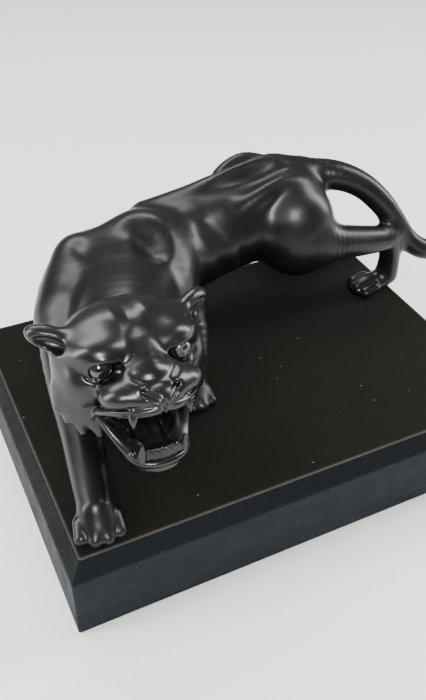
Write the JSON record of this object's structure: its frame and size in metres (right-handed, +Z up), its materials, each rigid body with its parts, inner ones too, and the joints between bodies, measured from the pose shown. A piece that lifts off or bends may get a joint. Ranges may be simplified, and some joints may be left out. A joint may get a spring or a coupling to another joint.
{
  "type": "figural television lamp",
  "caption": "Television lamp: a stalking black panther with open jaws on a bevelled plinth, lit from inside the chest, with a rotary switch behind.",
  "frame": {"origin": "middle of the felt underside that the plinth stands on", "axes": "+Z up, +X along the long side of the plinth towards the tail, -Y is the front, where the head faces"},
  "size_m": [0.3336, 0.2192, 0.1413],
  "materials": {
    "bakelite": "gloss",
    "black_nylon": "satin",
    "book_cloth": "satin, grained",
    "brass": "satin",
    "bulb_clear": "clear",
    "eye_glass": "gloss",
    "felt": "matt",
    "hardboard": "matt",
    "lead_insulation": "satin",
    "nickel": "polished",
    "pine": "matt",
    "plywood": "matt",
    "satin_black_casting": "satin",
    "socket_ceramic": "gloss",
    "suede": "matt nap",
    "tongue_dark": "gloss",
    "wire_nut": "satin",
    "zinc_steel": "satin"
  },
  "bodies": {
    "lamp": {"back_batten": "pine", "back_rail": "pine", "base_felt": "felt", "body_casting": "satin_black_casting", "bottom_cover": "hardboard", "centre_contact": "brass", "cord_bushing": "black_nylon", "cover_screws": "zinc_steel", "deck": "plywood", "front_batten": "pine", "front_rail": "pine", "head_casting": "satin_black_casting", "lamp_pipe": "brass", "lead_neutral": "lead_insulation", "lead_switch_feed": "lead_insulation", "lead_to_switch": "lead_insulation", "left_eye": "eye_glass", "left_foreleg": "satin_black_casting", "left_hind_leg": "satin_black_casting", "left_rail": "pine", "lower_jaw": "satin_black_casting", "paw_inserts": "brass", "paw_screws": "zinc_steel", "paw_washers": "zinc_steel", "pipe_nuts": "brass", "pipe_washers": "zinc_steel", "right_eye": "eye_glass", "right_foreleg": "satin_black_casting", "right_hind_leg": "satin_black_casting", "right_rail": "pine", "side_covering": "book_cloth", "socket_body": "socket_ceramic", "socket_bracket": "zinc_steel", "socket_screw": "zinc_steel", "socket_shell": "brass", "switch_body": "bakelite", "switch_bushing": "brass", "switch_nut": "nickel", "tail": "satin_black_casting", "tongue": "tongue_dark", "top_panel": "suede", "wire_connectors": "wire_nut"},
    "bulb_cap_part": {"bulb_cap": "nickel", "bulb_tip_contact": "nickel"},
    "bulb_glass_part": {"bulb_glass": "bulb_clear", "bulb_filament": "bulb_clear"},
    "switch_spindle": {"switch_shaft": "brass", "switch_knob": "bakelite", "knob_grub_screw": "zinc_steel"}
  },
  "joints": [
    {"name": "bulb_travel", "type": "slide", "parent": "lamp", "child": "bulb_cap_part", "axis": [-0.3316, -0.921, 0.2045], "range_m": [0, 0.01016]},
    {"name": "bulb_turn", "type": "hinge", "parent": "bulb_cap_part", "child": "bulb_glass_part", "pos_m": [-0.04886, 0.04407, 0.09148], "axis": [-0.3316, -0.921, 0.2045], "range_deg": [0, 1440]},
    {"name": "switch_turn", "type": "hinge", "parent": "lamp", "child": "switch_spindle", "pos_m": [-0.078, 0.1, 0.025], "axis": [0, 1, 0], "continuous": true}
  ],
  "couplings": [
    {"joint": "bulb_travel", "follows": "bulb_turn", "m_per_rad": 0.00040425}
  ]
}
